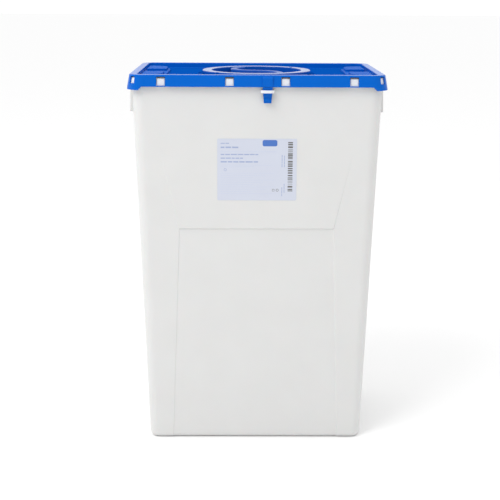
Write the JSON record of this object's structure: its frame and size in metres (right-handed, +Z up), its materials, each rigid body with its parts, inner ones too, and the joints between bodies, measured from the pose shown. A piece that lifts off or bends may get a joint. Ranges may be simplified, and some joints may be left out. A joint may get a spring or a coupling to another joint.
{
  "type": "sharps container",
  "caption": "Tall rectangular waste tub with a snap-fit lid, a round port closed by a dished twist-lock cap, and a front lock tab behind a strap.",
  "frame": {"origin": "centre of the tub's flat base", "axes": "+Z up along the height, the front with the label and lock tab faces -Y, +X to the right seen from the front"},
  "size_m": [0.4596, 0.324, 0.68],
  "materials": {
    "tub_plastic": "moulded natural white polypropylene, satin",
    "lid_plastic": "moulded blue polypropylene, glossy",
    "seal_foam": "closed-cell foam strip, matt",
    "label_film": "printed film, satin"
  },
  "bodies": {
    "container": {"tub": "tub_plastic", "snap_lugs": "tub_plastic", "lock_strap": "tub_plastic", "side_grip_left": "tub_plastic", "side_grip_right": "tub_plastic", "front_label": "label_film"},
    "lid": {"lid": "lid_plastic", "port_neck": "lid_plastic", "stacking_pads": "lid_plastic", "lid_gasket": "seal_foam"},
    "port_gasket": {"port_gasket": "seal_foam"},
    "port_cap": {"port_cap": "lid_plastic", "cap_grip": "lid_plastic"},
    "lock_tab": {"lock_tab": "lid_plastic"}
  },
  "joints": [
    {"name": "lid_lift", "type": "slide", "parent": "container", "child": "lid", "axis": [0, 0, 1], "range_m": [0, 0.25]},
    {"name": "port_cap_lift", "type": "slide", "parent": "lid", "child": "port_gasket", "axis": [0, 0, 1], "range_m": [0, 0.12]},
    {"name": "port_cap_turn", "type": "hinge", "parent": "port_gasket", "child": "port_cap", "pos_m": [0, 0, 0.67], "axis": [0, 0, 1], "range_deg": [-50, 0]},
    {"name": "lock_tab_press", "type": "hinge", "parent": "lid", "child": "lock_tab", "pos_m": [0.0174, -0.1585, 0.6595], "axis": [1, 0, 0], "range_deg": [0, 8], "stiffness_Nm_per_rad": 0.6}
  ]
}
